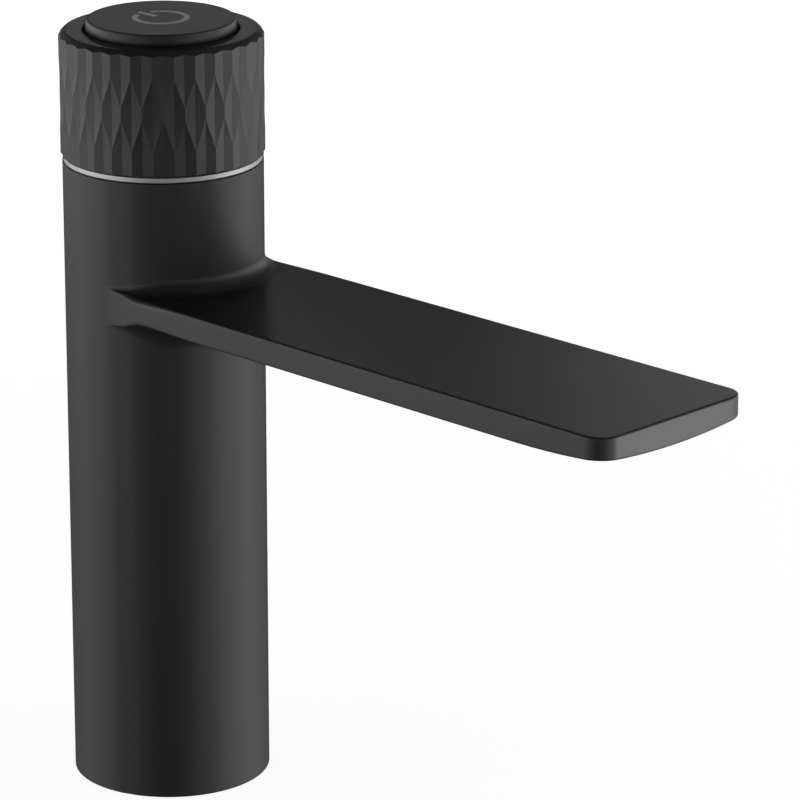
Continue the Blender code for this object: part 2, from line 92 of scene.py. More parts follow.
# %% [markdown]
# ## Mesh helpers
# Nearly every piece is a skin of four-sided faces between rows of points. One helper joins two rows,
# and one turns a list of points and faces into an object and welds points that coincide. Turned
# pieces need only a profile of radius and height. Real machined edges are never perfectly sharp, so
# `eased` replaces each corner of a profile with a small curve, which is what catches the light.

# %% Rows, skins and turned profiles
WELD = 0.001


def bridge(first, second, closed=False):
    """Faces between two rows of point numbers of the same length."""
    count = len(first)
    last = count if closed else count - 1
    return [
        (first[i], first[(i + 1) % count], second[(i + 1) % count], second[i])
        for i in range(last)
    ]


def skin(name, points, faces):
    """An object from points in millimetres and faces. Points that coincide become one."""
    mesh = bpy.data.meshes.new(name)
    mesh.from_pydata([(x * MM, y * MM, z * MM) for x, y, z in points], [], faces)
    work = bmesh.new()
    work.from_mesh(mesh)
    bmesh.ops.remove_doubles(work, verts=work.verts, dist=WELD * MM)
    bmesh.ops.recalc_face_normals(work, faces=work.faces)
    work.to_mesh(mesh)
    work.free()
    item = bpy.data.objects.new(name, mesh)
    bpy.context.scene.collection.objects.link(item)
    return item


def eased(profile, radius=0.2, steps=3):
    """The closed profile with each corner replaced by a curve of that size."""
    soft = []
    for i, corner in enumerate(profile):
        before, after = Vector(profile[i - 1]), Vector(profile[(i + 1) % len(profile)])
        point = Vector(corner)
        back, ahead = before - point, after - point
        reach = min(radius, back.length * 0.45, ahead.length * 0.45)
        start, end = point + back.normalized() * reach, point + ahead.normalized() * reach
        for k in range(steps + 1):
            t = k / steps
            soft.append(tuple(start * (1 - t) ** 2 + point * 2 * t * (1 - t) + end * t**2))
    return soft


def turned(name, profile_at, steps, place=(0.0, 0.0), closed=True):
    """A profile of (radius, height) turned about the vertical. `profile_at` gives it for a step.
    A closed profile makes a ring, and an open one starts and ends on the axis."""
    points, rows = [], []
    for i in range(steps):
        turn = 2 * math.pi * i / steps
        profile = profile_at(i)
        rows.append(list(range(len(points), len(points) + len(profile))))
        points += [
            (place[0] + r * math.cos(turn), place[1] + r * math.sin(turn), z) for r, z in profile
        ]
    faces = []
    for i in range(steps):
        faces += bridge(rows[i], rows[(i + 1) % steps], closed)
    return skin(name, points, faces)


def steady(profile):
    """The same profile at every step."""
    return lambda step: profile


# %% [markdown]
# ## Smooth shading and sharp edges
# A dense mesh still looks faceted until its faces share their normals. Edges where two faces meet
# at a clear angle stay sharp. A Weighted Normal modifier then lets the large faces rule the shading,
# so that a narrow rounded edge doesn't bend the light across the flat next to it.


# %% Shading, drills and a count of what was made
PIN_TWIST = 1.7


def shade(item, degrees=32.0, weighted=True):
    mesh = item.data
    mesh.polygons.foreach_set("use_smooth", [True] * len(mesh.polygons))
    mark_sharp(item, degrees)
    if weighted:
        item.modifiers.new("edge_light", "WEIGHTED_NORMAL").keep_sharp = True
    return item


def mark_sharp(item, degrees, where=None):
    """Sharp where the faces meet at more than this angle, or than where() says for that edge."""
    work = bmesh.new()
    work.from_mesh(item.data)
    for edge in work.edges:
        limit = math.radians(where(edge) if where else degrees)
        edge.smooth = not (len(edge.link_faces) == 2 and edge.calc_face_angle() > limit)
    work.to_mesh(item.data)
    work.free()


def bake_modifiers(item):
    """Replace the mesh by what its modifiers make of it."""
    bpy.context.view_layer.update()
    graph = bpy.context.evaluated_depsgraph_get()
    made = bpy.data.meshes.new_from_object(item.evaluated_get(graph), depsgraph=graph)
    item.modifiers.clear()
    item.data = made


def cut(item, tool):
    """A Boolean difference. The tool is hidden now and removed after the modifiers are baked."""
    tool.hide_render = True
    modifier = item.modifiers.new(tool.name, "BOOLEAN")
    modifier.object, modifier.operation, modifier.solver = tool, "DIFFERENCE", "EXACT"
    return tool


def from_work(name, work):
    """An object from a finished bmesh, which is freed."""
    mesh = bpy.data.meshes.new(name)
    work.to_mesh(mesh)
    work.free()
    item = bpy.data.objects.new(name, mesh)
    bpy.context.scene.collection.objects.link(item)
    return item


def add_prism(work, radius, low, high, place, sides, twist=0.0):
    """Add a closed upright prism to a bmesh. Its place is (x, y)."""
    made = bmesh.ops.create_cone(
        work, cap_ends=True, segments=sides, radius1=radius * MM, radius2=radius * MM,
        depth=(high - low) * MM, matrix=Matrix.Rotation(math.radians(twist), 4, "Z"),
    )
    centre = Vector((*place, (low + high) / 2)) * MM
    bmesh.ops.translate(work, vec=centre, verts=made["verts"])


def pin(name, radius, low, high, place, sides=48):
    """A closed upright cylinder, turned a little so that its corners miss the lines it cuts."""
    work = bmesh.new()
    add_prism(work, radius, low, high, place, sides, PIN_TWIST)
    return from_work(name, work)


def brick(name, low, high):
    """A closed box between two corners."""
    work = bmesh.new()
    bmesh.ops.create_cube(work)
    for vertex in work.verts:
        ends = zip(vertex.co, low, high)
        vertex.co = Vector([least if side < 0 else most for side, least, most in ends]) * MM
    return from_work(name, work)


def report(item):
    count = sum(len(face.vertices) - 2 for face in item.data.polygons)
    print(f"{item.name}: {count} triangles")


# %% [markdown]
# ## The casting: how its shape is built
# Column and spout are one casting with soft inner corners, so there is no line between them.
# A Boolean union would leave a hard crease, and a bevel on such a crease often tears. So the skin is
# lofted instead. Seen from above, the spout's outline leaves the column on a small hollow curve,
# runs nearly straight and ends in two rounded corners. Lanes run along the spout from the column to
# the tip, and stations cross them. Near the column the stations are circles around it, a little
# further out each time, and the height follows a quarter circle: that is the fillet.

# %% Outline of the spout from above
SPOUT_TOP = 122.2
HALF_ROOT, HALF_TIP = 22.2, 23.0
CORNER_R = 5.0
FILLET_TOP, FILLET_UNDER = 3.8, 6.0
SIDE_FILLET = 24.0
EDGE_R, ROOT_EDGE_R, ROOT_EDGE_START, ROOT_EDGE_LENGTH, SMALLEST_EDGE = 0.5, 1.4, 2.0, 16.0, 0.02
EDGE_HEIGHT, CROWN, TIP_THINNING, THINNING_LENGTH = 6.1, 1.5, 1.4, 25.0
corner_start = SPOUT_TIP - CORNER_R


def smooth_share(value):
    """Zero to one, with a soft start and a soft end."""
    share = min(max(value, 0.0), 1.0)
    return share * share * (3 - 2 * share)


def wall_half(t):
    """Half the spout's width at a distance t in front of the column's axis."""
    return HALF_ROOT + (HALF_TIP - HALF_ROOT) * t / corner_start


hollow_t = 7.0
for _ in range(8):
    hollow_x = wall_half(hollow_t) + SIDE_FILLET
    hollow_t = math.sqrt((COLUMN_R + SIDE_FILLET) ** 2 - hollow_x**2)
contact_t = hollow_t * COLUMN_R / (COLUMN_R + SIDE_FILLET)


def outline_half(t):
    """Half width of the whole casting: the column, then the hollow curve, then the side wall."""
    if t <= contact_t:
        return math.sqrt(COLUMN_R**2 - t**2)
    if t < hollow_t:
        return hollow_x - math.sqrt(SIDE_FILLET**2 - (hollow_t - t) ** 2)
    return wall_half(t)


def edge_size(t):
    """Size of the rounded edge: widest near the column, and gone where the two meet."""
    clear = math.hypot(outline_half(t), t) - COLUMN_R
    size = ROOT_EDGE_R + (EDGE_R - ROOT_EDGE_R) * smooth_share(clear / ROOT_EDGE_LENGTH)
    size *= smooth_share(clear / ROOT_EDGE_START)
    return size if size > SMALLEST_EDGE else 0.0


def inset_half(t):
    return outline_half(t) - edge_size(t)


print("the spout's side leaves the column at y =", round(-contact_t, 2))

# %% [markdown]
# ## Heights of the spout
# The top is flat. The underside is crowned from side to side and gets thinner towards the tip. Both
# meet the column in a fillet. A fillet's height depends on the distance to the column, and its
# radius shrinks towards the sides, where the spout's wall runs into the column by itself.


# %% Top and underside
FADE_FROM, FADE_OVER = 36, 44
TOP_LEAST, UNDER_LEAST = 0.3, 0.4


def fillet(clear, radius):
    if clear >= radius:
        return 0.0
    return radius - math.sqrt(max(radius**2 - (radius - max(clear, 0.0)) ** 2, 0.0))


def clearance(x, t):
    return max(math.hypot(x, t) - COLUMN_R, 0.0)


def fade(x, t, least):
    """What is left of a fillet's radius on a line from the axis through this point."""
    turn = math.degrees(math.atan2(abs(x), t))
    return 1 - (1 - least) * smooth_share((turn - FADE_FROM) / FADE_OVER)


def top_height(x, t):
    return SPOUT_TOP + fillet(clearance(x, t), FILLET_TOP * fade(x, t, TOP_LEAST))


def under_height(x, t):
    across = min((x / wall_half(t)) ** 2, 1.0)
    near_tip = max((t - SPOUT_TIP + THINNING_LENGTH) / THINNING_LENGTH, 0.0)
    thickness = EDGE_HEIGHT + CROWN * (1 - across) - TIP_THINNING * min(near_tip, 1.0) ** 2
    return SPOUT_TOP - thickness - fillet(clearance(x, t), FILLET_UNDER * fade(x, t, UNDER_LEAST))


print("thickness at the middle:", round(SPOUT_TOP - under_height(0, 80), 2), "mm")

# %% [markdown]
# ## Lanes and stations
# The lanes end on the tip's rounded outline, so they lie closer together near the corners. A lane
# keeps its share of the width all the way. Where a lane meets a circle around the column has no
# neat formula, because the width changes along the way, so the point is found by halving.

# %% Grid of the spout
LANES_FLAT, LANES_CORNER = 12, 10
STATIONS_FILLET, STATIONS_LONG = 12, 36


def tip_ends():
    """Ends of the lanes on one side: (x, t, outward direction), from the middle outwards."""
    flat = HALF_TIP - CORNER_R
    ends = [(flat * i / LANES_FLAT, SPOUT_TIP - EDGE_R, (0.0, 1.0)) for i in range(LANES_FLAT)]
    for k in range(LANES_CORNER + 1):
        turn = math.pi / 2 * k / LANES_CORNER
        out = (math.sin(turn), math.cos(turn))
        reach = CORNER_R - EDGE_R
        ends.append((flat + reach * out[0], corner_start + reach * out[1], out))
    return ends


def meet_circle(share, clear):
    """Distance t at which a lane is that far outside the column."""
    low = contact_t if share > 0.9999 else 0.0
    high = 80.0
    if clear == 0.0 and share > 0.9999:
        return contact_t
    for _ in range(50):
        middle = (low + high) / 2
        if math.hypot(share * inset_half(middle), middle) < COLUMN_R + clear:
            low = middle
        else:
            high = middle
    return high


def lane(share, end_t):
    """Points (x, t) of one lane from the column to the tip."""
    path = []
    for j in range(STATIONS_FILLET + 1):
        clear = FILLET_UNDER * (1 - math.cos(math.pi / 2 * j / STATIONS_FILLET))
        t = meet_circle(share, clear)
        path.append((share * inset_half(t), t))
    start_t = path[-1][1]
    for j in range(1, STATIONS_LONG + 1):
        t = start_t + (end_t - start_t) * j / STATIONS_LONG
        path.append((share * inset_half(t), t))
    return path


right_ends = tip_ends()
right = [lane(x / inset_half(t), t) for x, t, _ in right_ends]
lanes = [[(-x, t) for x, t in path] for path in reversed(right[1:])] + right
outward = [(-o[0], o[1]) for _, _, o in reversed(right_ends[1:])] + [o for _, _, o in right_ends]
print(len(lanes), "lanes with", len(lanes[0]), "stations each")

# %% [markdown]
# ## The side wall
# A loop runs along one side, around the tip and back along the other side. At each of its points a
# line of points goes down: over the rounded upper edge, down the wall, and around the lower edge.

# %% Points of the spout
EDGE_STEPS, WALL_STEPS = 4, 6


def wall_line(x, t, out, size):
    """Points from the top surface over the edge and down the wall to the underside."""
    high, low = top_height(x, t), under_height(x, t)
    line = []
    for k in range(EDGE_STEPS + 1):
        turn = math.pi / 2 * k / EDGE_STEPS
        push = size * math.sin(turn)
        line.append((x + out[0] * push, -(t + out[1] * push), high - size * (1 - math.cos(turn))))
    for k in range(1, WALL_STEPS):
        z = high - size + (low + size - high + size) * k / WALL_STEPS
        line.append((x + out[0] * size, -(t + out[1] * size), z))
    for k in range(EDGE_STEPS, -1, -1):
        turn = math.pi / 2 * k / EDGE_STEPS
        push = size * math.sin(turn)
        line.append((x + out[0] * push, -(t + out[1] * push), low + size * (1 - math.cos(turn))))
    return line


def spout_loop():
    """Every place on the loop: (x, t, outward direction, size of the edge there)."""
    loop = [(x, t, (-1.0, 0.0), edge_size(t)) for x, t in lanes[0]]
    loop += [(*path[-1], out, EDGE_R) for path, out in zip(lanes[1:-1], outward[1:-1])]
    loop += [(x, t, (1.0, 0.0), edge_size(t)) for x, t in reversed(lanes[-1])]
    return loop


casting_points, casting_faces = [], []


def add_row(points):
    start = len(casting_points)
    casting_points.extend(points)
    return list(range(start, len(casting_points)))


for height in (top_height, under_height):
    rows = [add_row([(x, -t, height(x, t)) for x, t in path]) for path in lanes]
    for first, second in zip(rows, rows[1:]):
        casting_faces += bridge(first, second)
walls = [add_row(wall_line(*place)) for place in spout_loop()]
for first, second in zip(walls, walls[1:]):
    casting_faces += bridge(first, second)
print("spout:", len(casting_points), "points")

# %% [markdown]
# ## The column around it
# The column's upright lines go through the starting points of the lanes, so both meshes share their
# points at the fillet and weld without a seam. Below and above the spout the rows run all the way
# round. Beside it they stop at its side walls.

# %% Points of the column
ROWS_BELOW, ROWS_ABOVE, TURNS_BEHIND = 24, 14, 84
RIM = 0.25
starts = [math.atan2(path[0][0], path[0][1]) for path in lanes]
edge_turn = starts[-1]
behind = [
    edge_turn + (2 * math.pi - 2 * edge_turn) * i / TURNS_BEHIND for i in range(TURNS_BEHIND + 1)
]
around = starts + behind[1:-1]
lows = [under_height(*path[0]) for path in lanes]
highs = [top_height(*path[0]) for path in lanes]
low_side, high_side = lows[0], highs[0]


def on_ring(radius, turns, heights):
    return [
        (radius * math.sin(a), -radius * math.cos(a), z) for a, z in zip(turns, heights)
    ]


def full_ring(radius, z):
    return add_row(on_ring(radius, around, [z] * len(around)))


def rounded(start, end, corner, steps=4):
    """Profile points on a quarter curve."""
    return [
        tuple(
            a * (1 - k / steps) ** 2 + c * 2 * (k / steps) * (1 - k / steps) + b * (k / steps) ** 2
            for a, b, c in zip(start, end, corner)
        )
        for k in range(steps + 1)
    ]


outer_rings = [
    full_ring(r, z) for r, z in rounded((COLUMN_R - RIM, 0), (COLUMN_R, RIM), (COLUMN_R, 0))
]
tops = lows + [low_side] * (len(around) - len(lows))
for k in range(1, ROWS_BELOW + 1):
    share = k / ROWS_BELOW
    heights = [RIM + (top - RIM) * share for top in tops]
    outer_rings.append(add_row(on_ring(COLUMN_R, around, heights)))
for first, second in zip(outer_rings, outer_rings[1:]):
    casting_faces += bridge(first, second, closed=True)
beside = []
for k in range(WALL_STEPS + 1):
    z = low_side + (high_side - low_side) * k / WALL_STEPS
    beside.append(add_row(on_ring(COLUMN_R, behind, [z] * len(behind))))
for first, second in zip(beside, beside[1:]):
    casting_faces += bridge(first, second)
bottoms = highs + [high_side] * (len(around) - len(highs))
upper_rings = []
for k in range(ROWS_ABOVE + 1):
    heights = [low + (COLUMN_TOP - RIM - low) * k / ROWS_ABOVE for low in bottoms]
    upper_rings.append(add_row(on_ring(COLUMN_R, around, heights)))
rim = rounded((COLUMN_R, COLUMN_TOP - RIM), (COLUMN_R - RIM, COLUMN_TOP), (COLUMN_R, COLUMN_TOP))
upper_rings += [full_ring(r, z) for r, z in rim[1:]]
print("column lines:", len(around))

# %% [markdown]
# ## Inside the casting
# The column is hollow at the foot and has a chamber for the cartridge at the top, with a solid web
# between them at the height of the spout. The two inner profiles end on the axis at that web.

# %% Foot and chamber
WEB_LOW, WEB_HIGH = 112.0, 126.0
chamber = [(19.2, COLUMN_TOP), (19.2, 142.2), (18.0, 141.0), (18.0, WEB_HIGH)]
foot = [
    (22.0, 0.0), (22.0, 1.5), (20.2, 1.5), (20.2, 0.0), (19.0, 0.0), (19.0, 3.0), (19.9, 3.0),
    (19.9, 4.4), (19.0, 4.4), (19.0, WEB_LOW),
]
for ring_rows, profile, web in ((upper_rings, chamber, WEB_HIGH), (outer_rings[:1], foot, WEB_LOW)):
    ring_rows += [full_ring(r, z) for r, z in profile]
    for first, second in zip(ring_rows, ring_rows[1:]):
        casting_faces += bridge(first, second, closed=True)
    last, (centre,) = ring_rows[-1], add_row([(0.0, 0.0, web)])
    casting_faces += [(last[i - 1], last[i], centre) for i in range(len(last))]
casting = skin("casting_skin", casting_points, casting_faces)
report(casting)

# %% [markdown]
# ## Water ways
# Hot and cold water rise through two pipes into the cartridge, and the mixed water comes back down
# and runs through the spout. These are plain holes, and Booleans are the clear way to drill them.

# %% Drill the casting
PORTS = ((-8.8, 6.6), (8.8, 6.6))
OUTLET = (0.0, -139.0)
tools = [pin("mixed_port", 4.5, 118.5, WEB_HIGH + 2, (0.0, 0.0))]
for number, place in enumerate(PORTS):
    tools.append(pin(f"riser_socket_{number}", 4.2, WEB_LOW - 2, 119.0, place))
    tools.append(pin(f"seal_seat_{number}", 5.2, 114.0, 115.6, place))
    tools.append(pin(f"inlet_port_{number}", 2.8, 117.7, WEB_HIGH + 2, place))
tools.append(brick("slot_neck", (-4, -12, 117.2), (4, 3, 120.6)))
tools.append(brick("slot_wide", (-14, -127, 117.2), (14, -11, 120.6)))
tools.append(brick("slot_end", (-8, OUTLET[1], 119.0), (8, -126, 120.6)))
tools.append(pin("outlet_bore", 9.2, 111.6, 119.3, OUTLET, sides=96))
for tool in tools:
    cut(casting, tool)
bake_modifiers(casting)
for tool in tools:
    bpy.data.objects.remove(tool)
shade(casting)
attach(casting, "faucet_body")
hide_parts("body_casting")
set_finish(casting, "matt_black_coat")
report(casting)

# %% [markdown]
# ## The temperature knob
# The sleeve is a cylinder with shallow V-shaped grooves: thirty around it, in three rows, each row
# half a pitch on from the one above. Where the rows meet, the ridges run diagonally and leave
# diamonds. Bump can't give the stepped outline, so the facets are real. A groove is `GROOVE` deep in
# the middle. Between two rows its depth fades out along a parabola while the next row's groove
# grows, and the crease between them is a straight diagonal line on the surface.

# %% Facets of the sleeve
FACETS = 30
RIDGE_R, GROOVE = 23.35, 0.4
KNOB_BOTTOM, KNOB_TOP = round(knob_low.z, 3), round(knob_high.z, 3)
CHAMFER_HIGH_R, CHAMFER_DROP, LOW_EDGE = 22.1, 1.25, 0.35
CROSSINGS = ((172.3, 165.4, 0), (162.6, 155.5, 1))  # upper end, lower end, side of the ridge
half_pitch = math.pi / FACETS
STRAIGHT_ROWS, CROSSING_ROWS = 3, 10


def groove_rows():
    """Rows of (height, [(turn in half pitches, depth), ...]) for one pitch, from the top down."""
    low_edge = KNOB_BOTTOM + LOW_EDGE
    rows, previous, ridge = [], KNOB_TOP - CHAMFER_DROP, 0
    for high, low, ridge_side in CROSSINGS:
        rows.append(("straight", previous, high, ridge_side))
        rows.append(("crossing", high, low, ridge_side))
        previous, ridge = low, 1 - ridge_side
    rows.append(("straight", previous, low_edge, ridge))
    return rows


def straight_row(ridge_side):
    """Depths on ridge and groove lines, at whole half pitches."""
    return [(i, 0.0 if i % 2 == ridge_side else GROOVE) for i in range(2 * FACETS)]


def crossing_row(ridge_side, u):
    """Depths where the ridge line at ridge_side turns into a groove (u runs from 0 to 1)."""
    row = []
    for i in range(2 * FACETS):
        if i % 2 == ridge_side:
            crease = GROOVE * u * (1 - u)
            row += [(i - u, crease), (i, GROOVE * u * (2 - u)), (i + u, crease)]
        else:
            row.append((i, GROOVE * (1 - u * u)))
    return row


def place_row(row, z, chamfer=False):
    points = []
    for turn, depth in row:
        angle, radius = -math.pi / 2 + turn * half_pitch, RIDGE_R - depth
        height = KNOB_TOP - (radius - CHAMFER_HIGH_R) / (RIDGE_R - CHAMFER_HIGH_R) * CHAMFER_DROP
        points.append((radius * math.cos(angle), radius * math.sin(angle), height if chamfer else z))
    return points


sleeve_points, sleeve_faces = [], []


def sleeve_row(points):
    start = len(sleeve_points)
    sleeve_points.extend(points)
    return list(range(start, len(sleeve_points)))


for number, (kind, high, low, side) in enumerate(groove_rows()):
    steps = CROSSING_ROWS if kind == "crossing" else STRAIGHT_ROWS
    previous = None
    for k in range(steps + 1):
        z = high + (low - high) * k / steps
        row = crossing_row(side, k / steps) if kind == "crossing" else straight_row(side)
        made = sleeve_row(place_row(row, z, chamfer=number == 0 and k == 0))
        if previous:
            sleeve_faces += bridge(previous, made, closed=True)
        previous = made
print("sleeve facets:", len(sleeve_faces), "faces")

# %% [markdown]
# ## Rest of the sleeve
# Above the facets a turned chamfer cuts the grooves off, which leaves the scalloped line of small
# bright points. Then come the flat top, the eased edge of the hole for the button, a ledge inside
# that the carrier is screwed to, and the thin skirt.

# %% Close the sleeve and shade it
HOLE_R, LEDGE_R, SKIRT_R, LEDGE_LOW, LEDGE_HIGH = 17.8, 15.8, 21.0, 166.6, 171.0
HOLE_EDGE = 0.4
FACETED_OUTSIDE, FACET_SHARP, TURNED_SHARP = 22.7, 2.2, 30.0
SCREW_CIRCLE, SCREW_HOLE_R, SCREW_TURNS = 18.4, 1.5, (30, 150, 270)


def even_ring(radius, z):
    return place_ring([radius] * 2 * FACETS, z)


def place_ring(radii, z):
    angles = [-math.pi / 2 + i * half_pitch for i in range(2 * FACETS)]
    return sleeve_row([(r * math.cos(a), r * math.sin(a), z) for r, a in zip(radii, angles)])


top_profile = rounded((CHAMFER_HIGH_R + 0.25, KNOB_TOP - 0.2), (CHAMFER_HIGH_R - 0.35, KNOB_TOP),
                      (CHAMFER_HIGH_R, KNOB_TOP))
top_profile += rounded((HOLE_R + HOLE_EDGE, KNOB_TOP), (HOLE_R, KNOB_TOP - HOLE_EDGE),
                       (HOLE_R, KNOB_TOP))
top_profile += [(HOLE_R, LEDGE_HIGH), (LEDGE_R, LEDGE_HIGH), (LEDGE_R, LEDGE_LOW)]
top_profile += [(SKIRT_R, LEDGE_LOW), (SKIRT_R, KNOB_BOTTOM + 0.2), (SKIRT_R + 0.2, KNOB_BOTTOM)]
first_row = list(range(2 * FACETS))
rings = [first_row] + [even_ring(r, z) for r, z in top_profile]
low_radii = [RIDGE_R - depth - LOW_EDGE for _, depth in straight_row(0)]
rings.append(place_ring(low_radii, KNOB_BOTTOM))
for share in (0.35, 0.7):
    radii = [r + LOW_EDGE * math.sqrt(1 - (1 - share) ** 2) for r in low_radii]
    rings.append(place_ring(radii, KNOB_BOTTOM + LOW_EDGE * share))
rings.append(previous)
for first, second in zip(rings, rings[1:]):
    sleeve_faces += bridge(first, second, closed=True)
sleeve = skin("knob_sleeve", sleeve_points, sleeve_faces)


def sleeve_limit(edge):
    """Facet edges are sharp at a small angle, and everything turned only at a large one."""
    spots = [vertex.co / MM for vertex in edge.verts]
    above = KNOB_BOTTOM + LOW_EDGE - 0.01
    faceted = all(math.hypot(p.x, p.y) > FACETED_OUTSIDE and p.z > above for p in spots)
    return FACET_SHARP if faceted else TURNED_SHARP


sleeve.data.polygons.foreach_set("use_smooth", [True] * len(sleeve.data.polygons))
mark_sharp(sleeve, 0.0, sleeve_limit)
screw_tools = []
for k, turn in enumerate(SCREW_TURNS):
    along, aside = math.cos(math.radians(turn)), math.sin(math.radians(turn))
    spot = (SCREW_CIRCLE * along, SCREW_CIRCLE * aside)
    screw_hole = pin(f"screw_hole_{k}", SCREW_HOLE_R, 165.0, 170.2, spot, sides=24)
    screw_tools.append(cut(sleeve, screw_hole))
bake_modifiers(sleeve)
for tool in screw_tools:
    bpy.data.objects.remove(tool)
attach(sleeve, "knob")
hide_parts("temperature_knob")
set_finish(sleeve, "satin_black_knob")
report(sleeve)

# %% [markdown]
# ## The push button
# A shallow turned cap with a flat top, a tight rounded edge and a hollow underside with a boss in
# the middle. Its wall leans in a little towards the top, so the upper part of it catches the light.
# Its gap to the knob is 0.55 mm wide at the foot, and reads as a dark line. The profile is turned in
# many steps, because a round edge against a pale floor shows every corner.

# %% Button cap
CAP_TOP, CAP_LOW = round(cap_high.z, 3), round(cap_low.z, 3)
CAP_R = round(cap_high.x, 3)
CAP_EDGE, CAP_TOP_R = 0.4, CAP_R - 0.32
cap_profile = [(0.0, CAP_TOP), (8.0, CAP_TOP), (15.5, CAP_TOP)]
cap_profile += rounded((CAP_TOP_R - CAP_EDGE, CAP_TOP), (CAP_TOP_R, CAP_TOP - CAP_EDGE),
                       (CAP_TOP_R, CAP_TOP), 6)
cap_profile += [(CAP_TOP_R + 0.2, CAP_TOP - 1.3), (CAP_TOP_R + 0.3, CAP_TOP - 2.1)]
cap_profile += rounded((CAP_R, CAP_LOW + 0.3), (CAP_R - 0.3, CAP_LOW), (CAP_R, CAP_LOW), 3)
cap_profile += [(15.6, CAP_LOW), (15.6, 178.2), (15.4, 178.4), (6.4, 178.4), (6.2, 178.2)]
cap_profile += [(6.2, CAP_LOW + 0.3), (5.9, CAP_LOW), (0.0, CAP_LOW)]
cap = shade(turned("button_face", steady(cap_profile), 144, closed=False))
bake_modifiers(cap)
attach(cap, "button")
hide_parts("button_cap")
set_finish(cap, "satin_black_button")
report(cap)

# %% [markdown]
# ## The on/off mark
# The mark is a pad-printed, open ring with a bar in its gap. It is modelled as a film of ink a few
# hundredths of a millimetre thick, so its edge stays crisp at any distance.

# %% Ink film
INK = 0.03
RING_OUT, RING_STROKE, GAP_HALF = 6.6, 1.35, 19.5
BAR_LOW, BAR_HIGH, BAR_WIDTH = 1.6, 7.4, 1.27


def film(name, left, right_side):
    """A thin closed plate between two lines of (x, y) points, on the button's top."""
    rows = []
    points = []
    for z, line in ((0.0, left), (INK, left), (INK, right_side), (0.0, right_side)):
        rows.append(list(range(len(points), len(points) + len(line))))
        points += [(x, y, CAP_TOP + z) for x, y in line]
    faces = []
    for i in range(4):
        faces += bridge(rows[i], rows[(i + 1) % 4])
    faces += [tuple(row[0] for row in rows), tuple(row[-1] for row in rows)]
    return skin(name, points, faces)


def open_arc(radius, steps=72):
    angles = [math.radians(90 + GAP_HALF + (360 - 2 * GAP_HALF) * i / steps)
              for i in range(steps + 1)]
    return [(radius * math.cos(a), radius * math.sin(a)) for a in angles]


mark_ring = film("mark_ring", open_arc(RING_OUT), open_arc(RING_OUT - RING_STROKE))
bar_side = [BAR_LOW + (BAR_HIGH - BAR_LOW) * i / 4 for i in range(5)]
mark_bar = film("mark_bar", [(-BAR_WIDTH / 2, y) for y in bar_side],
                [(BAR_WIDTH / 2, y) for y in bar_side])
for item in (mark_ring, mark_bar):
    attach(item, "button")
    report(item)

# %% [markdown]
# ## Trim ring, gasket and water outlet
# These are turned pieces with eased edges. The trim ring is the thin bright line under the knob. It
# is a touch larger than its CAD node, so that the line stays clear between two dark pieces.
# The outlet sits in a bore under the tip of the spout: a ribbed housing that screws in, with a
# honeycomb insert behind it that mixes air into the water.

# %% Trim ring and base gasket
TRIM_PROUD, TRIM_SPREAD = 0.1, 0.2
trim_r = round(trim_high.x, 3) + TRIM_PROUD
band_low, band_high = trim_low.z - TRIM_SPREAD, trim_high.z + TRIM_SPREAD
trim_profile = [(19.4, band_low), (trim_r, band_low), (trim_r, band_high), (19.4, band_high)]
trim = shade(turned("trim_band", steady(eased(trim_profile, 0.16, 4)), 180))
gasket_low, gasket_high = box_mm("base_gasket")
gasket_profile = [
    (20.5, gasket_low.z), (gasket_high.x, gasket_low.z), (gasket_high.x, gasket_high.z),
    (20.5, gasket_high.z),
]
gasket = shade(turned("base_seal", steady(eased(gasket_profile, 0.3, 4)), 120))
for item, node, slot in (
    (trim, "trim_ring", "bright_trim"), (gasket, "base_gasket", "rubber"),
):
    bake_modifiers(item)
    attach(item, "faucet_body")
    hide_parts(node)
    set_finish(item, slot)
    report(item)

# %% [markdown]
# ## The water outlet
# The housing has a row of small notches around its lower face for the key that unscrews it. Notches
# are easy to give as a repeating change of height along one ring of points. The insert is a thin
# plate of six-sided cells, and each cell is a hole with six walls.

# %% Outlet housing with key notches
outlet_low, outlet_high = box_mm("aerator_housing")
NOTCHES, NOTCH_STEPS, NOTCH_WIDTH, NOTCH_DEPTH = 16, 8, 3, 0.35


def notched(step):
    """Profile of the housing. Its lower face steps up where a notch is."""
    low, high = outlet_low.z, outlet_high.z
    raised = NOTCH_DEPTH if step % NOTCH_STEPS < NOTCH_WIDTH else 0.0
    profile = [(8.9, high), (8.9, low + 0.6), (8.75, low + 0.3), (8.55, low + 0.12), (8.3, low)]
    profile += [(7.2, low), (6.95, low + 0.12), (6.75, low + 0.4), (6.7, high)]
    return [(r, max(z, low + raised) if 7.0 < r < 8.9 else z) for r, z in profile]


nozzle = shade(turned("outlet_housing", notched, NOTCHES * NOTCH_STEPS, OUTLET), 25)
bake_modifiers(nozzle)
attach(nozzle, "faucet_body")
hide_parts("aerator_housing")
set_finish(nozzle, "grey_plastic")
report(nozzle)

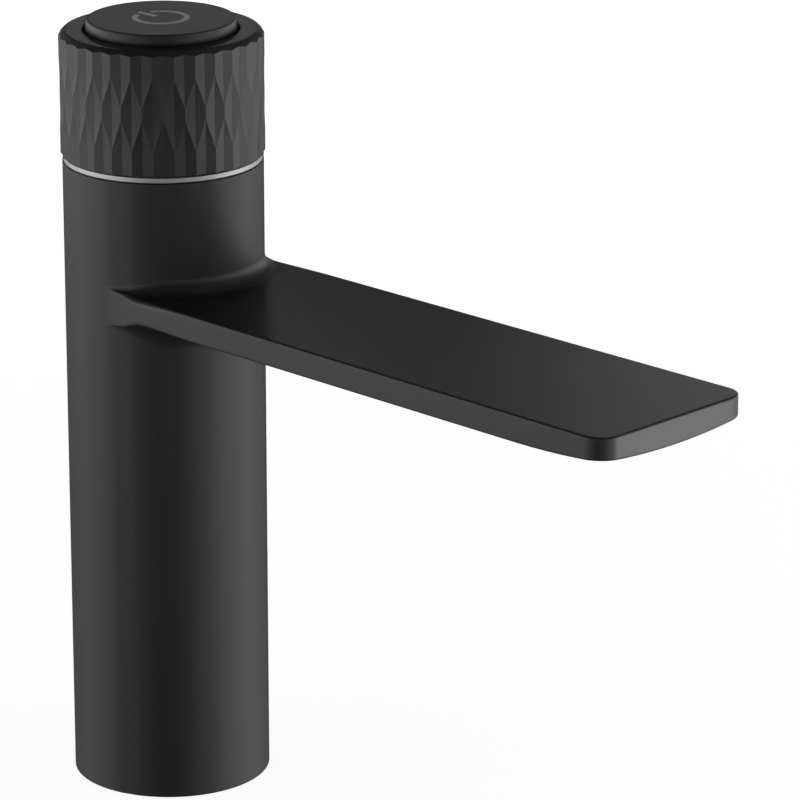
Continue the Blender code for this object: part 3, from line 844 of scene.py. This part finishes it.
# %% Honeycomb insert
insert_low, insert_high = box_mm("aerator_insert")
CELL_PITCH, CELL_R, CELL_REACH, CELLS_WITHIN = 1.75, 0.82, 3.0, 5.4
insert = pin("outlet_insert", 6.4, insert_low.z, insert_high.z, OUTLET, sides=96)
cells = bmesh.new()
for row in range(-4, 5):
    for column in range(-4, 5):
        x, y = (column + 0.5 * (row % 2)) * CELL_PITCH, row * CELL_PITCH * math.sin(math.radians(60))
        if math.hypot(x, y) < CELLS_WITHIN:
            add_prism(cells, CELL_R, insert_low.z - CELL_REACH, insert_low.z + CELL_REACH,
                      (x, OUTLET[1] + y), sides=6)
cell_tool = cut(insert, from_work("cells", cells))
bake_modifiers(insert)
bpy.data.objects.remove(cell_tool)
mark_sharp(insert, 30)
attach(insert, "faucet_body")
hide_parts("aerator_insert")
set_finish(insert, "white_plastic")
report(insert)

# %% [markdown]
# ## The return spring
# The spring under the button gets shorter as the button goes down, but here it is one rigid coil
# with a mesh of its own. The wire is swept along a helix: at each point a small circle stands
# across the wire's direction.

# %% Spring wire
spring_low, spring_high = box_mm("button_spring")
TURNS, TURN_STEPS, WIRE_STEPS = 5, 40, 12
COIL_R, WIRE_R, TRAVEL = 4.5, 0.45, 2.2
rise = (spring_high.z - spring_low.z) - 2 * WIRE_R
points, rows = [], []
for i in range(TURNS * TURN_STEPS + 1):
    turn = 2 * math.pi * i / TURN_STEPS
    along = Vector((-COIL_R * math.sin(turn), COIL_R * math.cos(turn),
                    rise / (TURNS * 2 * math.pi))).normalized()
    out = Vector((math.cos(turn), math.sin(turn), 0.0))
    across = along.cross(out)
    centre = out * COIL_R
    centre.z = spring_low.z + WIRE_R + rise * i / (TURNS * TURN_STEPS)
    rows.append(list(range(len(points), len(points) + WIRE_STEPS)))
    for k in range(WIRE_STEPS):
        a = 2 * math.pi * k / WIRE_STEPS
        points.append(tuple(centre + (out * math.cos(a) + across * math.sin(a)) * WIRE_R))
faces = [tuple(rows[0]), tuple(reversed(rows[-1]))]
for first, second in zip(rows, rows[1:]):
    faces += bridge(first, second, closed=True)
spring = shade(skin("return_spring", points, faces), weighted=False)
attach(spring, "faucet_body")
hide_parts("button_spring")
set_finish(spring, "steel")
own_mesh(spring)
report(spring)

# %% [markdown]
# ## Finishes: writing shader maths as Python
# A material is a small graph of nodes. `Wire` wraps one output socket and overloads the operators,
# so `0.4 + grain * 0.05` adds the two Math nodes that it reads like. `Finish` holds one material,
# and its `node` method adds any other node: its settings first, then values or wires for its inputs.


# %% Wire and Finish
class Wire:
    """One output socket. Operators on it add Math nodes, so it is for numbers, not for colours."""

    def __init__(self, finish, socket):
        self.finish, self.socket = finish, socket

    def maths(self, operation, first, second):
        return self.finish.node("ShaderNodeMath", {"operation": operation}, {0: first, 1: second})

    def __add__(self, other):
        return self.maths("ADD", self, other)

    def __mul__(self, other):
        return self.maths("MULTIPLY", self, other)

    def __pow__(self, other):
        return self.maths("POWER", self, other)

    __radd__, __rmul__ = __add__, __mul__


class Finish:
    """A material built around one Principled shader."""

    def __init__(self, name, **constants):
        self.material = bpy.data.materials.new(name)
        self.material.use_nodes = True
        self.tree = self.material.node_tree
        self.shader = self.tree.nodes["Principled BSDF"]
        self.set(**constants)

    def feed(self, socket, value):
        if isinstance(value, Wire):
            self.tree.links.new(value.socket, socket)
        else:
            socket.default_value = value

    def set(self, **inputs):
        """Constants or wires for the shader's own sockets: base_color goes to Base Color."""
        for name, value in inputs.items():
            self.feed(self.shader.inputs[name.replace("_", " ").title().replace("Ior", "IOR")], value)
        return self

    def node(self, kind, settings=None, inputs=None, output=0):
        made = self.tree.nodes.new(kind)
        for name, value in (settings or {}).items():
            setattr(made, name, value)
        for name, value in (inputs or {}).items():
            self.feed(made.inputs[name], value)
        return Wire(self, made.outputs[output])

    def place(self):
        """Where the surface is, in the object's own metres."""
        return self.node("ShaderNodeTexCoord", output="Object")

    def noise(self, scale, detail=2.0, vector=None):
        return self.node("ShaderNodeTexNoise", None, {
            "Vector": vector or self.place(), "Scale": scale, "Detail": detail})

    def mix(self, factor, first, second):
        """Colour between two colours. The colour sockets of a Mix node are its sixth and seventh."""
        return self.node("ShaderNodeMix", {"data_type": "RGBA"}, {0: factor, 6: first, 7: second}, 2)

    def bump(self, height, distance, strength=1.0):
        made = self.node("ShaderNodeBump", None, {
            "Height": height, "Distance": distance, "Strength": strength})
        return self.set(normal=made)


def grey(value, warm=0.0):
    return (value * (1 + warm), value, value * (1 - warm), 1.0)


print("operators on a wire:", [name for name in vars(Wire) if name.startswith("__r")])

# %% [markdown]
# ## Matt black coating
# Powder coating isn't a flat black: it has a fine, slightly uneven grain that spreads the highlight,
# and its gloss drifts a little over a few centimetres. Fine noise goes into the bump, broad noise
# into roughness and colour. The knob and the button are coated too, a little smoother, so each has
# its own numbers for the same recipe.


# %% Coating recipe
def coating(name, dark, light, roughness, drift, grain_mm, relief_mm):
    finish = Finish(name, specular_ior_level=0.5)
    broad = finish.noise(38.0, 3.0)
    fine = finish.noise(1 / (grain_mm * MM), 3.0)
    patch = finish.noise(420.0, 2.0)
    finish.set(
        base_color=finish.mix(broad * 0.6 + fine * 0.4, grey(dark), grey(light)),
        roughness=(roughness - drift / 2) + broad * drift * 0.6 + patch * drift * 0.4,
    )
    finish.bump(fine * 0.8 + patch * 0.2, relief_mm * MM)
    return finish.material


black_coat = coating("matt_black_coat", 0.009, 0.014, 0.42, 0.05, 0.22, 0.006)
black_knob = coating("satin_black_knob", 0.011, 0.017, 0.38, 0.04, 0.18, 0.004)
black_button = coating("satin_black_button", 0.010, 0.015, 0.40, 0.04, 0.18, 0.004)
print("coated:", black_coat.name, black_knob.name, black_button.name)

# %% [markdown]
# ## Turned and drawn metals
# Metal that was turned on a lathe has very fine rings around its axis. The distance from the axis
# and the height don't change along such a ring, so a noise fed with only those two draws rings.


# %% Metal recipe
def lathe_metal(name, colour, roughness, ring_mm, relief_mm):
    finish = Finish(name, metallic=1.0)
    x = finish.node("ShaderNodeSeparateXYZ", None, {0: finish.place()}, "X")
    y, z = (Wire(finish, x.socket.node.outputs[axis]) for axis in ("Y", "Z"))
    radius = (x * x + y * y) ** 0.5
    rings = finish.node("ShaderNodeTexNoise", {"noise_dimensions": "1D"}, {
        "W": radius + z * 0.7, "Scale": 1 / (ring_mm * MM), "Detail": 3.0})
    cloud = finish.noise(90.0, 3.0)
    tarnish = tuple(c * 0.82 for c in colour)
    finish.set(
        base_color=finish.mix(cloud * 0.5 + rings * 0.3, (*colour, 1.0), (*tarnish, 1.0)),
        roughness=roughness + rings * 0.08 + cloud * 0.04,
    )
    finish.bump(rings, relief_mm * MM)
    return finish.material


bright = lathe_metal("bright_trim", (0.50, 0.50, 0.50), 0.45, 0.08, 0.002)
steel = lathe_metal("steel", (0.56, 0.56, 0.57), 0.26, 0.1, 0.002)
brass = lathe_metal("brass", (0.72, 0.53, 0.26), 0.28, 0.16, 0.004)
print("metals:", bright.name, steel.name, brass.name)

# %% [markdown]
# ## Plastics, ceramic, rubber and ink
# Moulded plastic has a soft spark-eroded texture and a faint drift of colour. The ceramic discs are
# lapped almost to a mirror, with the fine speckle of the fired body under it. Rubber is dull, with a
# dusting of lighter talc. The ink is an even grey with a slightly mottled edge of gloss.


# %% Moulded recipe
def moulded(name, colour, roughness, texture_mm, relief_mm, spread=0.06, coat=0.0, metal=0.0):
    finish = Finish(name, coat_weight=coat, metallic=metal)
    fine = finish.noise(1 / (texture_mm * MM), 2.0)
    broad = finish.noise(60.0, 2.0)
    deep = tuple(c * (1 - spread) for c in colour)
    finish.set(
        base_color=finish.mix(broad * 0.7 + fine * 0.3, (*deep, 1.0), (*colour, 1.0)),
        roughness=roughness + fine * 0.06 + broad * 0.04,
    )
    finish.bump(fine, relief_mm * MM)
    return finish.material


white_plastic = moulded("white_plastic", (0.74, 0.74, 0.71), 0.38, 0.3, 0.004)
grey_plastic = moulded("grey_plastic", (0.16, 0.16, 0.17), 0.42, 0.25, 0.006)
ceramic = moulded("ceramic", (0.82, 0.80, 0.76), 0.10, 0.12, 0.0005, spread=0.10, coat=0.3)
rubber = moulded("rubber", (0.024, 0.024, 0.025), 0.62, 0.2, 0.008, spread=0.4)
ink = moulded("mark_ink", (0.8, 0.8, 0.8), 0.45, 0.2, 0.001, spread=0.08, metal=0.7)
print("moulded:", white_plastic.name, grey_plastic.name, ceramic.name, rubber.name, ink.name)

# %% [markdown] ## Dress every piece The packed record says which finish each CAD node has. CAD
# nodes get their material on the object, because their meshes stay as they are.

# %% Dress the pieces
finishes = {
    "matt_black_coat": black_coat, "satin_black_knob": black_knob,
    "satin_black_button": black_button, "bright_trim": bright, "steel": steel, "brass": brass,
    "white_plastic": white_plastic, "grey_plastic": grey_plastic, "ceramic": ceramic,
    "rubber": rubber,
}
made_here = [casting, sleeve, cap, trim, gasket, nozzle, insert, spring]
for item in made_here:
    item.data.materials.clear()
    item.data.materials.append(finishes[item["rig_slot"]])
for item in (mark_ring, mark_bar):
    item.data.materials.append(ink)
node_finish = {row["node"]: row["material_slot"] for row in frame["record"]["subparts"]}
for name, item in frame["nodes"].items():
    for place in item.material_slots:
        place.link = "OBJECT"
        place.material = finishes[node_finish[name]]
print(len(node_finish), "CAD nodes dressed,", len(made_here) + 2, "new pieces dressed")

# %% [markdown]
# ## Floor and backdrop
# The tap stands on a plain pale floor inside a plain pale dome. Both are seen by the camera but give
# no light and cast none back, because a black tap reads by what it reflects: soft panels with dark
# between them. Rays from the tap pass through the floor and find the panels below it as well.


# %% Stage
GLOW_NEAR, GLOW_FAR = 0.25, 0.8
STAGE_R, FLOOR_Z, DOME_ROWS = 6000.0, -0.02, 16


def paper(name, near_glow, albedo):
    """Pale paper. Most of its brightness is its own, a little less of it close to the tap, so that
    only a faint shadow shows there and no horizon shows far away."""
    finish = Finish(name, roughness=0.9, specular_ior_level=0.0, emission_strength=1.0)
    away = finish.node("ShaderNodeVectorMath", {"operation": "LENGTH"}, {0: finish.place()}, "Value")
    share = finish.node("ShaderNodeMapRange", {"interpolation_type": "SMOOTHSTEP"}, {
        "Value": away, "From Min": GLOW_NEAR, "From Max": GLOW_FAR})
    finish.set(base_color=grey(albedo))
    finish.set(emission_color=finish.mix(share, grey(near_glow), grey(1.0)))
    return finish.material


def on_stage(item, material):
    item.data.materials.append(material)
    item.visible_glossy = item.visible_diffuse = item.visible_shadow = False


def circles_skin(name, circles, steps):
    """A skin through circles of (radius, height) around the vertical."""
    points, rows = [], []
    for radius, z in circles:
        rows.append(list(range(len(points), len(points) + steps)))
        turns = [2 * math.pi * i / steps for i in range(steps)]
        points += [(radius * math.cos(turn), radius * math.sin(turn), z) for turn in turns]
    faces = []
    for first, second in zip(rows, rows[1:]):
        faces += bridge(first, second, closed=True)
    return skin(name, points, faces)


floor_circles = [(radius, FLOOR_Z) for radius in (0.0, 300.0, 1000.0, 3000.0, STAGE_R)]
on_stage(circles_skin("floor", floor_circles, 96), paper("floor_paper", 0.88, 0.5))
tilts = [math.pi / 2 * 0.999 * k / DOME_ROWS for k in range(DOME_ROWS + 1)]
dome_circles = [(STAGE_R * math.cos(a), STAGE_R * math.sin(a) + FLOOR_Z) for a in tilts]
on_stage(circles_skin("backdrop", dome_circles, 64), paper("backdrop_paper", 1.0, 0.0))
print("floor radius", STAGE_R * MM, "m, seen by the camera only")

# %% [markdown]
# ## Light
# A black tap reads by what it mirrors. So a tent of soft panels stands around it in three storeys:
# strong ones at both sides, which draw the two bright bands along the column, and weak ones in front
# and behind, which keep its middle dark but not empty. How bright a panel is follows the sine of
# its turn, counted from the camera's side. A power of the sine narrows that: a little in the middle
# storey, more in the other two. One panel high up behind gives the flat tops something to mirror,
# and a faint one stands above on the right.

# %% Tent of panels
VIEW_TURN = math.radians(-45.4)
TENT_RADIUS, PANEL_WIDTH, PANEL_STEP = 0.9, 0.5, 30
STOREYS = {  # middle, panel height, brightest left, brightest right, power in front, power behind
    "low": (-0.28, 0.5, 0.9, 1.65, 2.4, 4.0),
    "middle": (0.12, 0.3, 2.35, 2.05, 1.0, 1.7),
    "high": (0.5, 0.5, 0.3, 0.2, 2.4, 2.4),
}
REAR_TURN, REAR_RADIANCE = 165, 0.5
AIM = Vector((0.0, -0.05, 0.09))


def add_light(data, name, location, aim):
    item = bpy.data.objects.new(name, data)
    item.location = location
    item.rotation_mode = "QUATERNION"
    item.rotation_quaternion = (Vector(aim) - Vector(location)).to_track_quat("-Z", "Y")
    item.visible_camera = False
    bpy.context.scene.collection.objects.link(item)
    return item


def panel(name, turn_degrees, distance, height, width, tall, radiance):
    """A soft area light. Its turn is counted from the camera's side around the tap."""
    turn = VIEW_TURN - math.pi / 2 + math.radians(turn_degrees)
    data = bpy.data.lights.new(name, "AREA")
    data.shape, data.size, data.size_y = "RECTANGLE", width, tall
    data.energy = radiance * math.pi * width * tall
    location = (distance * math.cos(turn), distance * math.sin(turn), height)
    return add_light(data, name, location, AIM)


for storey, (height, tall, left, right, in_front, behind) in STOREYS.items():
    for turn in range(PANEL_STEP // 2 - 180, 180, PANEL_STEP):
        power = in_front if abs(turn) < 90 else behind
        radiance = (left if turn < 0 else right) * abs(math.sin(math.radians(turn))) ** power
        panel(f"{storey}_{turn}", turn, TENT_RADIUS, height, PANEL_WIDTH, tall, radiance)
height, tall = STOREYS["high"][:2]
panel("rear", REAR_TURN, TENT_RADIUS, height, PANEL_WIDTH, tall, REAR_RADIANCE)
panel("upper_right", 90, 0.5, 0.9, 0.7, 0.5, 0.15)

# %% [markdown]
# ## Accent and even grey
# The front face of the spout's tip is the brightest part of the tap. A small spotlight low in front
# of it reaches only the tip. Two more from behind graze the button and the end of the spout, so that
# the flat tops don't go black. The world adds a little even grey to every shadow.


# %% Accent lights and world
ACCENT_AWAY, FROM_BEHIND = 0.6, (0.64, 0.70, 0.36)
TIP_MIDDLE, WORLD_GREY = 0.119, 0.061


def accent(name, power, softness, cone, blend, target, way):
    """A small spotlight that stands off from its target along the direction `way`."""
    data = bpy.data.lights.new(name, "SPOT")
    data.energy, data.shadow_soft_size = power, softness
    data.spot_size, data.spot_blend = math.radians(cone), blend
    add_light(data, name, target + Vector(way).normalized() * ACCENT_AWAY, target)


tip = Vector((0.0, -SPOUT_TIP * MM, TIP_MIDDLE))
crown = Vector((0.0, 0.0, CAP_TOP * MM))
accent("tip_accent", 2.0, 0.04, 11, 0.8, tip, (0.68, -0.70, -0.31))
accent("crown_accent", 0.42, 0.06, 7, 0.8, crown, FROM_BEHIND)
accent("spout_accent", 0.23, 0.06, 24, 1.0, tip, (0.73, 0.59, 0.33))
world = bpy.data.worlds.new("studio")
world.use_nodes = True
world.node_tree.nodes["Background"].inputs["Color"].default_value = grey(1.0)
world.node_tree.nodes["Background"].inputs["Strength"].default_value = WORLD_GREY
bpy.context.scene.world = world

# %% [markdown]
# ## Camera
# A long lens from a little above, off to the side of the spout, shows the top of the spout, the
# knob's facets and the mark together. The Standard view keeps white paper white.

# %% Camera and view
camera_data = bpy.data.cameras.new("camera")
LOOK_DOWN = 18.03
camera_data.lens, camera_data.sensor_width = 217.8, 36.0
camera = bpy.data.objects.new("camera", camera_data)
camera.location = (-0.7222, -0.7881, 0.4375)
camera.rotation_euler = (math.radians(90 - LOOK_DOWN), 0.0, VIEW_TURN)
bpy.context.scene.collection.objects.link(camera)
bpy.context.scene.camera = camera
bpy.context.scene.view_settings.view_transform = "Standard"
print("camera at", [round(c, 3) for c in camera.location])

# %% [markdown] ## The end The visual model has to fill the same box as the CAD model.
